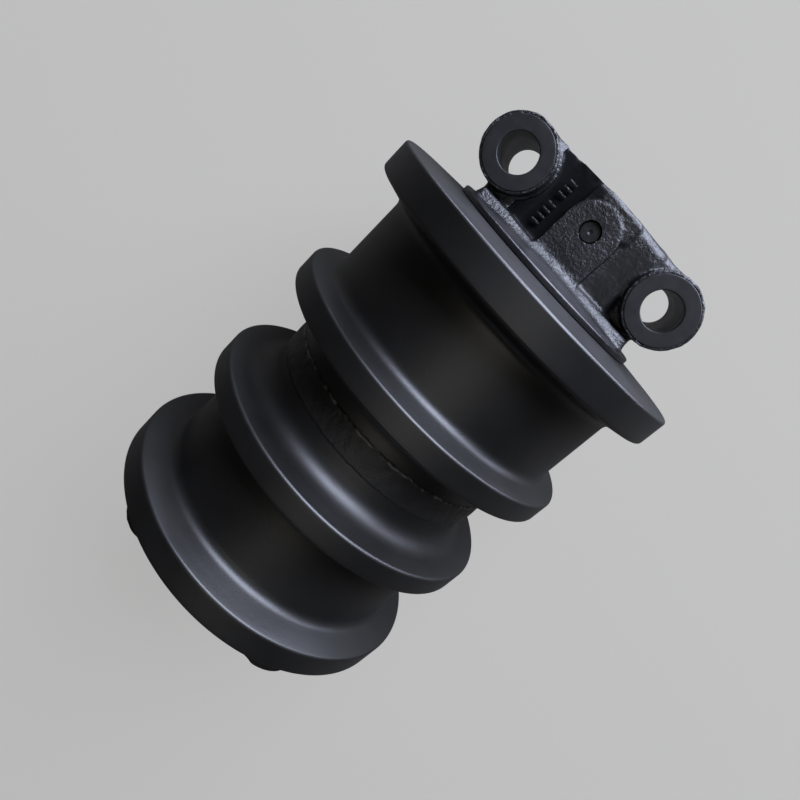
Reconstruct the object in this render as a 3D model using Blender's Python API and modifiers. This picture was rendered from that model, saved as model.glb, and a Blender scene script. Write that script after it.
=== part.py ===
"""Track roller with two treads: a welded two-half shell turning on a fixed shaft between two bolted collars.

The roller's axis is Y and its middle is the origin. +Z is the side that is bolted to the track frame.
Run it with blender --background --python part.py, or from Blender's text editor.
"""
import math

import bpy

MM = 0.001

# Running surfaces of the shell, measured from the middle of the roller along its axis.
OUTER_FLANGE_R = 108.0 * MM
INNER_FLANGE_R = 103.5 * MM
TREAD_R = 88.5 * MM
GROOVE_R = 78.3 * MM
GROOVE_HALF_WIDTH = 28.0 * MM
INNER_FLANGE_WIDTH = 14.8 * MM
TREAD_WIDTH = 62.4 * MM
OUTER_FLANGE_WIDTH = 18.3 * MM
INNER_FLANK_RUN = 5.2 * MM
OUTER_FLANK_RUN = 5.8 * MM
END_CONE_RISE = 2.9 * MM
RIM_ROUND = 2.0 * MM
TREAD_FILLET = 6.0 * MM
GROOVE_FILLET = 12.5 * MM
GROOVE_WALL_RUN = 1.0 * MM

# Weld between the two halves.
WELD_HALF_WIDTH = 8.0 * MM
WELD_DEPTH = 3.3 * MM
WELD_HEIGHT = 1.1 * MM
WELD_CROWN_SHARE = 0.7

# Shaft and its drillings.
SHAFT_R = 27.0 * MM
SHAFT_END_RECESS = 3.5 * MM
SHAFT_CHAMFER = 2.0 * MM
GALLERY_R = 3.5 * MM
GALLERY_OFFSET = 14.0 * MM
CROSS_DRILLING_R = 3.0 * MM
CROSS_DRILLING_Y = 30.0 * MM
PLUG_HEAD_R = 7.0 * MM
PLUG_HEAD_HEIGHT = 4.6 * MM
PLUG_SHANK_LENGTH = 7.0 * MM
PLUG_HEX_R = 3.6 * MM
PLUG_HEX_DEPTH = 3.2 * MM
PLUG_WASHER_THICKNESS = 1.0 * MM

# Bushes, pressed into the shell from its ends.
BUSH_WALL = 5.4 * MM
BUSH_LENGTH = 47.0 * MM
BUSH_FLANGE_WIDTH = 4.8 * MM
BUSH_FLANGE_THICKNESS = 3.7 * MM
OIL_CHAMBER_R = 39.0 * MM

# Face seals, one pair at each end, face to face inside the mouth of the shell.
SEAL_INSET = 8.0 * MM
SEAL_NOSE_WALL = 6.0 * MM
SEAL_RING_WALL = 4.4 * MM
SEAL_RING_LENGTH = 9.6 * MM
SEAL_FACE_WIDTH = 8.5 * MM
SEAL_FACE_THICKNESS = 2.4 * MM
SEAL_BACK_ROOM = 2.8 * MM
TORIC_SECTION_R = 3.3 * MM
SKIRT_WALL = 6.0 * MM
SKIRT_GAP = 1.5 * MM
SEAL_FACE_INSET = 0.6 * MM
O_RING_GROOVE_DEPTH = 2.8 * MM
O_RING_GROOVE_WIDTH = 3.8 * MM
O_RING_FROM_COLLAR_FACE = 17.0 * MM

# Collars.
COLLAR_GAP = 1.3 * MM
COLLAR_LENGTH = 54.3 * MM
COLLAR_BASE_R = 68.0 * MM
COLLAR_BASE_WIDTH = 2.6 * MM
COLLAR_BASE_CONE = 3.6 * MM
COLLAR_FILLET = 4.0 * MM
COLLAR_EDGE_ROUND = 1.0 * MM
HUB_EDGE_ROUND = 2.0 * MM
HUB_WALL = 6.0 * MM
BODY_START = 1.0 * MM
BODY_SETBACK = 0.5 * MM
BODY_BELOW_PAD = 9.0 * MM
BODY_BELOW_AXIS = 28.0 * MM
BODY_PAST_BOLT = 3.0 * MM
LEDGE_BELOW_PAD = 1.5 * MM
LEDGE_WIDTH = 4.5 * MM
BOLT_SPACING = 111.0 * MM
BOLT_HOLE_R = 11.0 * MM
BOSS_R = 21.5 * MM
BOSS_FOOT = 1.0 * MM
BOSS_ABOVE_PIN_PAD = 0.5 * MM
PAD_RING_INSET = 2.7 * MM
PAD_RING_HEIGHT = 0.6 * MM
PIN_PAD_HALF_WIDTH = 15.8 * MM
PIN_PAD_RISE = 0.7 * MM
PIN_PAD_ROOT = 9.0 * MM
LOCK_PIN_R = 5.8 * MM
LOCK_PIN_RECESS = 2.0 * MM

CLEARANCE = 0.3 * MM
MERGE = 0.01 * MM
BIG_SEGMENTS = 36
SMALL_SEGMENTS = 24
HOLE_SEGMENTS = 16
SEAL_SECTION_SEGMENTS = 6
ARC_STEPS = 2
ARC_SHARE = 0.7
OVERLAP = 1.0 * MM
CUT_BEYOND = 5.0 * MM
BOSS_TURN = math.radians(2.0)

# Places that follow from the sizes above.
INNER_FLANGE_OUT = GROOVE_HALF_WIDTH + INNER_FLANGE_WIDTH
OUTER_FLANGE_IN = INNER_FLANGE_OUT + TREAD_WIDTH
OUTER_FLANGE_OUT = OUTER_FLANGE_IN + OUTER_FLANGE_WIDTH
SHELL_END = OUTER_FLANGE_OUT + END_CONE_RISE
COLLAR_FACE = SHELL_END + COLLAR_GAP
COLLAR_END = COLLAR_FACE + COLLAR_LENGTH
SHAFT_END = COLLAR_END - SHAFT_END_RECESS
BORE_R = SHAFT_R + CLEARANCE
BUSH_R = BORE_R + BUSH_WALL
BUSH_BORE_R = BUSH_R + CLEARANCE
BUSH_FLANGE_R = BUSH_R + BUSH_FLANGE_WIDTH
SEAL_PLANE = SHELL_END - SEAL_INSET
HOUSING_FLOOR = SEAL_PLANE - SEAL_RING_LENGTH - SEAL_BACK_ROOM
BUSH_SEAT = HOUSING_FLOOR - BUSH_FLANGE_THICKNESS - CLEARANCE
BUSH_OUT = BUSH_SEAT + CLEARANCE + BUSH_FLANGE_THICKNESS
BUSH_IN = BUSH_OUT - BUSH_LENGTH
NOSE_R = BORE_R + SEAL_NOSE_WALL
NOSE_FACE = BUSH_OUT + CLEARANCE
COLLAR_HOUSING_FLOOR = 2 * SEAL_PLANE - HOUSING_FLOOR
SEAL_BORE_R = NOSE_R + SEAL_FACE_INSET
TORIC_IN_R = SEAL_BORE_R + SEAL_RING_WALL + CLEARANCE
SEAL_HOUSING_R = TORIC_IN_R + 2 * TORIC_SECTION_R + CLEARANCE
SKIRT_R = SEAL_HOUSING_R + SKIRT_WALL
MOUTH_R = SKIRT_R + SKIRT_GAP
HUB_R = BORE_R + HUB_WALL
PIN_PAD_TOP = HUB_R + PIN_PAD_RISE
BOSS_TOP = PIN_PAD_TOP + BOSS_ABOVE_PIN_PAD
BODY_TOP = PIN_PAD_TOP - BODY_BELOW_PAD
LEDGE_TOP = PIN_PAD_TOP - LEDGE_BELOW_PAD
LOCK_PIN_HALF_LENGTH = PIN_PAD_TOP - LOCK_PIN_RECESS
BOLT_X = BOLT_SPACING / 2
BOLT_Y = COLLAR_END - BOSS_R
BODY_HALF_WIDTH = BOLT_X + BODY_PAST_BOLT
PAD_RING_R = BOSS_R - PAD_RING_INSET
GALLERY_END = CROSS_DRILLING_Y - 2 * CROSS_DRILLING_R
PLUG_SEAT = SHAFT_END - PLUG_HEAD_HEIGHT - PLUG_WASHER_THICKNESS - 3 * CLEARANCE
O_RING_Y = COLLAR_FACE + O_RING_FROM_COLLAR_FACE

FINISHES = {
    "black_paint": ((0.012, 0.012, 0.014, 1.0), 0.42, 0.0),
    "cast_paint": ((0.014, 0.014, 0.016, 1.0), 0.5, 0.0),
    "bare_steel": ((0.35, 0.35, 0.37, 1.0), 0.3, 1.0),
    "bronze": ((0.55, 0.36, 0.16, 1.0), 0.35, 1.0),
    "seal_iron": ((0.3, 0.3, 0.31, 1.0), 0.2, 1.0),
    "rubber": ((0.02, 0.02, 0.02, 1.0), 0.6, 0.0),
}


def clear_scene():
    for old in list(bpy.data.objects):
        bpy.data.objects.remove(old, do_unlink=True)


def make_collection(name):
    made = bpy.data.collections.new(name)
    bpy.context.scene.collection.children.link(made)
    return made


def make_empty(name, parent=None, turn=0.0):
    empty = bpy.data.objects.new(name, None)
    PARTS.objects.link(empty)
    empty.parent = parent
    empty.rotation_euler = (0.0, 0.0, turn)
    return empty


def give_finish(obj, slot):
    """Give the object a Principled material of its own."""
    colour, roughness, metallic = FINISHES[slot]
    material = bpy.data.materials.new(obj.name + "_" + slot)
    material.use_nodes = True
    shader = material.node_tree.nodes["Principled BSDF"]
    shader.inputs["Base Color"].default_value = colour
    shader.inputs["Roughness"].default_value = roughness
    shader.inputs["Metallic"].default_value = metallic
    obj.data.materials.append(material)


def rounded(outline):
    """Replace each (radius, along, fillet) corner by an arc where its fillet isn't zero."""
    points = []
    for index, (radius, along, fillet) in enumerate(outline):
        if fillet == 0.0:
            points.append((radius, along))
            continue
        before, after = outline[index - 1], outline[(index + 1) % len(outline)]
        ux, uy = before[0] - radius, before[1] - along
        vx, vy = after[0] - radius, after[1] - along
        u_length, v_length = math.hypot(ux, uy), math.hypot(vx, vy)
        ux, uy, vx, vy = ux / u_length, uy / u_length, vx / v_length, vy / v_length
        half = math.acos(max(-1.0, min(1.0, ux * vx + uy * vy))) / 2
        reach = min(fillet / math.tan(half), ARC_SHARE * u_length, ARC_SHARE * v_length)
        size = reach * math.tan(half)
        bx, by = ux + vx, uy + vy
        b_length = math.hypot(bx, by)
        to_centre = size / math.sin(half)
        cx, cy = radius + bx / b_length * to_centre, along + by / b_length * to_centre
        start = math.atan2(along + uy * reach - cy, radius + ux * reach - cx)
        end = math.atan2(along + vy * reach - cy, radius + vx * reach - cx)
        sweep = (end - start + math.pi) % (2 * math.pi) - math.pi
        for step in range(ARC_STEPS + 1):
            angle = start + sweep * step / ARC_STEPS
            points.append((cx + size * math.cos(angle), cy + size * math.sin(angle)))
    return points


def turned(name, outline, segments, closed=True, collection=None):
    """Turn an outline of (radius, along) points about the roller's axis.

    The outline runs down its outer side from the +Y end, then back up its bore or ends on the axis.
    """
    mesh = bpy.data.meshes.new(name)
    edges = [(index, index + 1) for index in range(len(outline) - 1)]
    if closed:
        edges.append((len(outline) - 1, 0))
    mesh.from_pydata([(radius, 0.0, along) for radius, along in outline], edges, [])
    obj = bpy.data.objects.new(name, mesh)
    (collection or PARTS).objects.link(obj)
    screw = obj.modifiers.new("turn", "SCREW")
    screw.axis = "Z"
    screw.angle = 2 * math.pi
    screw.steps = segments
    screw.render_steps = segments
    screw.use_merge_vertices = True
    screw.merge_threshold = MERGE
    screw.use_normal_calculate = False
    obj.rotation_euler = (-math.pi / 2, 0.0, 0.0)
    return obj


def cutter_cylinder(name, radius, start, end, segments=HOLE_SEGMENTS, turn=0.0):
    """Add a cutter or a body to join: a cylinder between two points on a line along X, Y or Z."""
    length = math.dist(start, end)
    middle = [(a + b) / 2 for a, b in zip(start, end)]
    bpy.ops.mesh.primitive_cylinder_add(vertices=segments, radius=radius, depth=length, location=middle)
    obj = bpy.context.object
    if abs(end[0] - start[0]) > MERGE:
        obj.rotation_euler = (0.0, math.pi / 2, 0.0)
    elif abs(end[1] - start[1]) > MERGE:
        obj.rotation_euler = (-math.pi / 2, 0.0, 0.0)
    else:
        obj.rotation_euler = (0.0, 0.0, turn)
    return as_cutter(obj, name)


def cutter_box(name, low, high):
    size = [b - a for a, b in zip(low, high)]
    middle = [(a + b) / 2 for a, b in zip(low, high)]
    bpy.ops.mesh.primitive_cube_add(size=1.0, location=middle)
    obj = bpy.context.object
    mesh = obj.data
    for vertex in mesh.vertices:
        vertex.co = [c * s for c, s in zip(vertex.co, size)]
    return as_cutter(obj, name)


def as_cutter(obj, name):
    obj.name = name
    for owner in list(obj.users_collection):
        owner.objects.unlink(obj)
    CUTTERS.objects.link(obj)
    obj.hide_render = True
    obj.display_type = "WIRE"
    return obj


def combine(obj, tool, operation, solver="EXACT"):
    boolean = obj.modifiers.new(operation.lower() + "_" + tool.name, "BOOLEAN")
    boolean.operation = operation
    boolean.object = tool
    boolean.solver = solver


def smooth(obj):
    obj.data.shade_smooth()


def place(obj, slot, parent, flipped=False):
    """Finish a turned sub-part and hang it on its body; a flipped one is the copy at the -Y end."""
    obj.parent = parent
    if flipped:
        obj.rotation_euler = (math.pi / 2, 0.0, 0.0)
    give_finish(obj, slot)
    smooth(obj)
    return obj


def make_shell(side, flipped):
    """One half of the forged roller shell, from the weld in the middle to its seal housing."""
    bevel_top = OUTER_FLANGE_IN - OUTER_FLANK_RUN
    bevel_bottom = INNER_FLANGE_OUT + INNER_FLANK_RUN
    weld_r = GROOVE_R - WELD_DEPTH
    outline = rounded([
        (COLLAR_BASE_R, SHELL_END, 0.0),
        (OUTER_FLANGE_R, OUTER_FLANGE_OUT, RIM_ROUND),
        (OUTER_FLANGE_R, OUTER_FLANGE_IN, RIM_ROUND),
        (TREAD_R, bevel_top, TREAD_FILLET),
        (TREAD_R, bevel_bottom, TREAD_FILLET),
        (INNER_FLANGE_R, INNER_FLANGE_OUT, RIM_ROUND),
        (INNER_FLANGE_R, GROOVE_HALF_WIDTH, RIM_ROUND),
        (GROOVE_R, GROOVE_HALF_WIDTH - GROOVE_WALL_RUN, GROOVE_FILLET),
        (GROOVE_R, WELD_HALF_WIDTH + CLEARANCE, 0.0),
        (weld_r, WELD_HALF_WIDTH + CLEARANCE, 0.0),
        (weld_r, CLEARANCE / 2, 0.0),
        (OIL_CHAMBER_R, CLEARANCE / 2, 0.0),
        (OIL_CHAMBER_R, BUSH_IN - OIL_CHAMBER_R + BUSH_BORE_R, 0.0),
        (BUSH_BORE_R, BUSH_IN, 0.0),
        (BUSH_BORE_R, BUSH_SEAT, 0.0),
        (BUSH_FLANGE_R + CLEARANCE, BUSH_SEAT, 0.0),
        (BUSH_FLANGE_R + CLEARANCE, HOUSING_FLOOR, 0.0),
        (SEAL_HOUSING_R, HOUSING_FLOOR, 0.0),
        (SEAL_HOUSING_R, SEAL_PLANE - SKIRT_GAP, 0.0),
        (MOUTH_R, SEAL_PLANE - SKIRT_GAP, 0.0),
        (MOUTH_R, SHELL_END, 0.0),
    ])
    place(turned("shell_" + side, outline, BIG_SEGMENTS), "black_paint", ROLLER, flipped)


def make_weld_bead():
    """The ring of weld metal that joins the two halves of the shell."""
    root_r = GROOVE_R - WELD_DEPTH + CLEARANCE
    crown = GROOVE_R + WELD_HEIGHT
    edge = WELD_HALF_WIDTH
    shoulder = WELD_CROWN_SHARE * edge
    outline = [(GROOVE_R, edge), (crown, shoulder), (crown, -shoulder), (GROOVE_R, -edge),
               (root_r, -edge), (root_r, edge)]
    place(turned("weld_bead", outline, BIG_SEGMENTS), "black_paint", ROLLER)


def make_bushing(side, flipped):
    """A flanged steel-backed bronze bush, pressed in from the end of the shell."""
    flange_in = BUSH_SEAT + CLEARANCE
    outline = [
        (BUSH_FLANGE_R, BUSH_OUT), (BUSH_FLANGE_R, flange_in), (BUSH_R, flange_in),
        (BUSH_R, BUSH_IN), (BORE_R, BUSH_IN), (BORE_R, BUSH_OUT),
    ]
    place(turned("bushing_" + side, outline, SMALL_SEGMENTS), "bronze", ROLLER, flipped)


def seal_ring_outline(direction):
    """An L-section ring whose lapped face meets its partner at the seal plane."""
    face = SEAL_PLANE + direction * CLEARANCE / 2
    back = face + direction * SEAL_FACE_THICKNESS
    tail = face + direction * SEAL_RING_LENGTH
    face_r = SEAL_BORE_R + SEAL_FACE_WIDTH
    body_r = SEAL_BORE_R + SEAL_RING_WALL
    points = [(face_r, face), (face_r, back), (body_r, back), (body_r, tail),
              (SEAL_BORE_R, tail), (SEAL_BORE_R, face)]
    return points if direction < 0 else points[::-1]


def toric_outline(direction):
    """The rubber ring that springs a seal ring in its housing."""
    back = SEAL_PLANE + direction * (CLEARANCE / 2 + SEAL_FACE_THICKNESS)
    middle = back + direction * (CLEARANCE + TORIC_SECTION_R)
    return ring_section(TORIC_IN_R + TORIC_SECTION_R, middle, TORIC_SECTION_R)


def ring_section(centre_r, middle, section_r):
    """A round section, run from its top down its outer side."""
    points = []
    for step in range(SEAL_SECTION_SEGMENTS):
        angle = math.pi / 2 - 2 * math.pi * step / SEAL_SECTION_SEGMENTS
        points.append((centre_r + section_r * math.cos(angle), middle + section_r * math.sin(angle)))
    return points


def make_face_seal(side, flipped):
    """Both halves of one face seal: the shell's ring turns, the collar's ring stands still."""
    for owner, direction, body in (("shell", -1, ROLLER), ("collar", 1, MOUNT)):
        ring = turned(owner + "_seal_ring_" + side, seal_ring_outline(direction), SMALL_SEGMENTS)
        place(ring, "seal_iron", body, flipped)
        toric = turned(owner + "_seal_toric_" + side, toric_outline(direction), SMALL_SEGMENTS)
        place(toric, "rubber", body, flipped)


def make_shaft():
    """The fixed shaft, with an oil gallery drilled from its +Y end beside the lock pin."""
    chamfer_r = SHAFT_R - SHAFT_CHAMFER
    groove_r = SHAFT_R - O_RING_GROOVE_DEPTH
    groove_half = O_RING_GROOVE_WIDTH / 2
    upper = [
        (0.0, SHAFT_END), (chamfer_r, SHAFT_END), (SHAFT_R, SHAFT_END - SHAFT_CHAMFER),
        (SHAFT_R, O_RING_Y + groove_half), (groove_r, O_RING_Y + groove_half),
        (groove_r, O_RING_Y - groove_half), (SHAFT_R, O_RING_Y - groove_half),
    ]
    lower = [(radius, -along) for radius, along in reversed(upper)]
    shaft = turned("shaft", upper + lower, SMALL_SEGMENTS, closed=False)
    place(shaft, "bare_steel", MOUNT)
    beyond = SHAFT_END + CUT_BEYOND
    gallery_x = GALLERY_OFFSET
    combine(shaft, cutter_cylinder(
        "gallery", GALLERY_R, (gallery_x, GALLERY_END, 0.0), (gallery_x, beyond, 0.0)), "DIFFERENCE")
    combine(shaft, cutter_cylinder(
        "plug_seat", PLUG_HEAD_R + CLEARANCE, (gallery_x, PLUG_SEAT, 0.0), (gallery_x, beyond, 0.0)),
        "DIFFERENCE")
    combine(shaft, cutter_cylinder(
        "cross_drilling", CROSS_DRILLING_R, (gallery_x, CROSS_DRILLING_Y, 0.0),
        (SHAFT_R + CUT_BEYOND, CROSS_DRILLING_Y, 0.0)), "DIFFERENCE")
    pin_reach = SHAFT_R + CUT_BEYOND
    for name, y in (("left", BOLT_Y), ("right", -BOLT_Y)):
        combine(shaft, cutter_cylinder(
            "shaft_pin_hole_" + name, LOCK_PIN_R + CLEARANCE, (0.0, y, -pin_reach), (0.0, y, pin_reach)),
            "DIFFERENCE")


def make_shaft_o_ring(side, flipped):
    groove_r = SHAFT_R - O_RING_GROOVE_DEPTH + CLEARANCE
    section_r = (SHAFT_R - groove_r) / 2
    outline = ring_section(groove_r + section_r, O_RING_Y, section_r)
    place(turned("shaft_o_ring_" + side, outline, SMALL_SEGMENTS), "rubber", MOUNT, flipped)


def make_oil_plug():
    """The filler plug in the shaft's end, with its sealing washer."""
    washer_low = PLUG_SEAT + CLEARANCE
    washer_high = washer_low + PLUG_WASHER_THICKNESS
    head_low = washer_high + CLEARANCE
    head_high = head_low + PLUG_HEAD_HEIGHT
    shank_r = GALLERY_R - CLEARANCE
    outline = [
        (0.0, head_high), (PLUG_HEAD_R, head_high), (PLUG_HEAD_R, head_low), (shank_r, head_low),
        (shank_r, head_low - PLUG_SHANK_LENGTH), (0.0, head_low - PLUG_SHANK_LENGTH),
    ]
    plug = turned("oil_plug", outline, HOLE_SEGMENTS, closed=False)
    place(plug, "bare_steel", MOUNT)
    plug.location = (GALLERY_OFFSET, 0.0, 0.0)
    combine(plug, cutter_cylinder(
        "plug_hex", PLUG_HEX_R, (GALLERY_OFFSET, head_high - PLUG_HEX_DEPTH, 0.0),
        (GALLERY_OFFSET, head_high + CUT_BEYOND, 0.0), segments=6), "DIFFERENCE")
    rim_r, hole_r = PLUG_HEAD_R, GALLERY_R + CLEARANCE
    washer = turned("plug_washer", [
        (rim_r, washer_high), (rim_r, washer_low), (hole_r, washer_low), (hole_r, washer_high)],
        HOLE_SEGMENTS)
    place(washer, "rubber", MOUNT)
    washer.location = (GALLERY_OFFSET, 0.0, 0.0)


def collar_outline():
    """The turned core of a collar: hub, base ring, skirt around the seal, housing and nose."""
    base_end = COLLAR_FACE + COLLAR_BASE_WIDTH
    return rounded([
        (HUB_R, COLLAR_END, HUB_EDGE_ROUND),
        (HUB_R, base_end + COLLAR_BASE_CONE, COLLAR_FILLET),
        (COLLAR_BASE_R, base_end, COLLAR_EDGE_ROUND),
        (COLLAR_BASE_R, COLLAR_FACE, COLLAR_EDGE_ROUND),
        (SKIRT_R, COLLAR_FACE, 0.0),
        (SKIRT_R, SEAL_PLANE + SKIRT_GAP, 0.0),
        (SEAL_HOUSING_R, SEAL_PLANE + SKIRT_GAP, 0.0),
        (SEAL_HOUSING_R, COLLAR_HOUSING_FLOOR, 0.0),
        (NOSE_R, COLLAR_HOUSING_FLOOR, 0.0),
        (NOSE_R, NOSE_FACE, 0.0),
        (BORE_R - OVERLAP, NOSE_FACE, 0.0),
        (BORE_R - OVERLAP, COLLAR_END, 0.0),
    ])


def make_collar(side, end):
    """A cast collar with two bolt bosses, held on the shaft by a cross pin."""
    collar = turned("collar_" + side, collar_outline(), BIG_SEGMENTS)

    def add(tool):
        combine(collar, tool, "UNION", "MANIFOLD")

    def cut(tool):
        combine(collar, tool, "DIFFERENCE", "MANIFOLD")

    body_low = COLLAR_HOUSING_FLOOR + BODY_START
    add(cutter_box("web_" + side, (-BODY_HALF_WIDTH, body_low, -BODY_BELOW_AXIS),
                   (BODY_HALF_WIDTH, COLLAR_END - BODY_SETBACK, BODY_TOP)))
    ledge_half = BODY_HALF_WIDTH - OVERLAP
    add(cutter_box("ledge_" + side, (-ledge_half, body_low - CLEARANCE, 0.0),
                   (ledge_half, body_low + LEDGE_WIDTH, LEDGE_TOP)))
    for name, x in (("a", BOLT_X), ("b", -BOLT_X)):
        add(cutter_cylinder("boss_" + name + "_" + side, BOSS_R, (x, BOLT_Y, -BODY_BELOW_AXIS - BOSS_FOOT),
                            (x, BOLT_Y, BOSS_TOP - PAD_RING_HEIGHT), SMALL_SEGMENTS, BOSS_TURN))
        add(cutter_cylinder("pad_" + name + "_" + side, PAD_RING_R, (x, BOLT_Y, 0.0), (x, BOLT_Y, BOSS_TOP),
                            SMALL_SEGMENTS))
    pad_half, pad_low = PIN_PAD_HALF_WIDTH - CLEARANCE, HUB_R - PIN_PAD_ROOT
    add(cutter_box("pin_pad_" + side, (-pad_half, body_low + CLEARANCE, pad_low),
                   (pad_half, BOLT_Y, PIN_PAD_TOP - CLEARANCE)))
    add(cutter_cylinder("pin_pad_end_" + side, PIN_PAD_HALF_WIDTH, (0.0, BOLT_Y, pad_low + CLEARANCE),
                        (0.0, BOLT_Y, PIN_PAD_TOP), SMALL_SEGMENTS))
    cut(cutter_cylinder("shaft_bore_" + side, BORE_R, (0.0, NOSE_FACE - OVERLAP, 0.0),
                        (0.0, COLLAR_END + OVERLAP, 0.0), SMALL_SEGMENTS))
    hole_low, hole_high = -BODY_BELOW_AXIS - CUT_BEYOND, BOSS_TOP + CUT_BEYOND
    for name, x in (("a", BOLT_X), ("b", -BOLT_X)):
        cut(cutter_cylinder("bolt_hole_" + name + "_" + side, BOLT_HOLE_R, (x, BOLT_Y, hole_low),
                            (x, BOLT_Y, hole_high)))
    pin_reach = HUB_R + CUT_BEYOND
    cut(cutter_cylinder("pin_hole_" + side, LOCK_PIN_R + CLEARANCE, (0.0, BOLT_Y, -pin_reach),
                        (0.0, BOLT_Y, pin_reach)))
    for tool in [modifier.object for modifier in collar.modifiers if modifier.type == "BOOLEAN"]:
        tool.parent = end
    collar.parent = end
    give_finish(collar, "cast_paint")
    smooth(collar)


def make_lock_pin(side, end):
    """The cross pin that holds a collar on the shaft."""
    bpy.ops.mesh.primitive_cylinder_add(vertices=HOLE_SEGMENTS, radius=LOCK_PIN_R,
                                        depth=2 * LOCK_PIN_HALF_LENGTH)
    pin = bpy.context.object
    pin.name = "lock_pin_" + side
    for owner in list(pin.users_collection):
        owner.objects.unlink(pin)
    PARTS.objects.link(pin)
    pin.location = (0.0, BOLT_Y, PIN_PAD_TOP - LOCK_PIN_RECESS - LOCK_PIN_HALF_LENGTH)
    pin.parent = end
    give_finish(pin, "bare_steel")
    smooth(pin)


clear_scene()
PARTS = make_collection("track_roller")
CUTTERS = make_collection("cutters")
MOUNT = make_empty("mount")
ROLLER = make_empty("roller")
make_shaft()
make_oil_plug()
make_weld_bead()
for SIDE, FLIPPED in (("left", False), ("right", True)):
    END = make_empty("end_" + SIDE, MOUNT, math.pi if FLIPPED else 0.0)
    make_collar(SIDE, END)
    make_lock_pin(SIDE, END)
    make_shell(SIDE, FLIPPED)
    make_bushing(SIDE, FLIPPED)
    make_face_seal(SIDE, FLIPPED)
    make_shaft_o_ring(SIDE, FLIPPED)
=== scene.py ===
"""Finished look of a track roller: welded shell with two treads, fixed shaft and two cast collars."""
import math

import bpy
import numpy as np
from mathutils import Matrix, Vector


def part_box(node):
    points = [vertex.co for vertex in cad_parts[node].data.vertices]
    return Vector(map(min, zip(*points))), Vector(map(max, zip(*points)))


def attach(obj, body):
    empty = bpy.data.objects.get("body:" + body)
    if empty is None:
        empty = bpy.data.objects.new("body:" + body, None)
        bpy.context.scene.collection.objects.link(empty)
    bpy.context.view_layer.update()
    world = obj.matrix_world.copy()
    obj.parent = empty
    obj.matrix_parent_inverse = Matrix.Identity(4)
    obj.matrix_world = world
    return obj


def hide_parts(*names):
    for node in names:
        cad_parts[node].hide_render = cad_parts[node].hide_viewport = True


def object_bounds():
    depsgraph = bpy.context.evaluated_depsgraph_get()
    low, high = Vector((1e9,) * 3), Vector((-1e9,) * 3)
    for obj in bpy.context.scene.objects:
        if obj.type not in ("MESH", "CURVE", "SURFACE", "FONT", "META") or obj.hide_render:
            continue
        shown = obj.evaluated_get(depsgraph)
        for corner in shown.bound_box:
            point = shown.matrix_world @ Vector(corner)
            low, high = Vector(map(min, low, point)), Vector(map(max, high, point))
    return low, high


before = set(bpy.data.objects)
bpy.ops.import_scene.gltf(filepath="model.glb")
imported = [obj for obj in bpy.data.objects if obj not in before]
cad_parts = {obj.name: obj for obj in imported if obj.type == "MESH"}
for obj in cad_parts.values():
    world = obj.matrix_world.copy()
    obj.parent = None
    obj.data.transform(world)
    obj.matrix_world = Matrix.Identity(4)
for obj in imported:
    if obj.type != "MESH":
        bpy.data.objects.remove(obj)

cad_low, cad_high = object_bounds()

# ---------------------------------------------------------------------------
# Studio: a pale floor that the roller lies on, one wide soft light past the +Y end, a low one that
# shines up from beside it, a weak fill overhead, and the camera above the roller.
# ---------------------------------------------------------------------------
floor_level = cad_low[2]
floor_half = 12.0
floor_mesh = bpy.data.meshes.new("floor")
floor_mesh.from_pydata([(-floor_half, -floor_half, floor_level), (floor_half, -floor_half, floor_level),
                        (floor_half, floor_half, floor_level), (-floor_half, floor_half, floor_level)],
                       [], [(0, 1, 2, 3)])
floor = bpy.data.objects.new("floor", floor_mesh)
bpy.context.scene.collection.objects.link(floor)


def shader_of(material):
    """The Principled node of a new node material, with its node tree."""
    material.use_nodes = True
    tree = material.node_tree
    return tree, tree.nodes["Principled BSDF"]


floor_paper = bpy.data.materials.new("floor_paper")
paper_tree, paper = shader_of(floor_paper)
paper.inputs["Base Color"].default_value = (0.13, 0.122, 0.104, 1.0)
paper.inputs["Roughness"].default_value = 0.95
paper.inputs["Specular IOR Level"].default_value = 0.0
paper.inputs["Emission Color"].default_value = (1.0, 1.0, 1.0, 1.0)
seen = paper_tree.nodes.new("ShaderNodeLightPath")
glow = paper_tree.nodes.new("ShaderNodeMapRange")
glow.inputs["To Min"].default_value = 0.02
glow.inputs["To Max"].default_value = 0.43
paper_tree.links.new(seen.outputs["Is Camera Ray"], glow.inputs["Value"])
paper_tree.links.new(glow.outputs["Result"], paper.inputs["Emission Strength"])
floor_mesh.materials.append(floor_paper)


def soft_box(name, place, aim, width, height, watts, colour):
    """A rectangular area light at a place, turned towards the point that it lights."""
    lamp = bpy.data.lights.new(name, "AREA")
    lamp.shape = "RECTANGLE"
    lamp.size = width
    lamp.size_y = height
    lamp.energy = watts
    lamp.color = colour
    holder = bpy.data.objects.new(name, lamp)
    holder.location = place
    holder.rotation_euler = (Vector(aim) - Vector(place)).to_track_quat("-Z", "Y").to_euler()
    holder.visible_camera = False
    bpy.context.scene.collection.objects.link(holder)


soft_box("window_light", (0.5, 2.3, 1.15), (0.0, 0.0, 0.05), 2.0, 1.9, 165.0, (0.74, 0.80, 1.0))
soft_box("table_card", (0.25, 0.85, -0.07), (0.25, 0.85, 1.0), 1.2, 0.85, 36.0, (0.73, 0.79, 1.0))
soft_box("top_fill", (0.5, -0.6, 2.6), (0.0, 0.0, 0.0), 1.6, 1.6, 5.0, (1.0, 0.96, 0.88))

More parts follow.
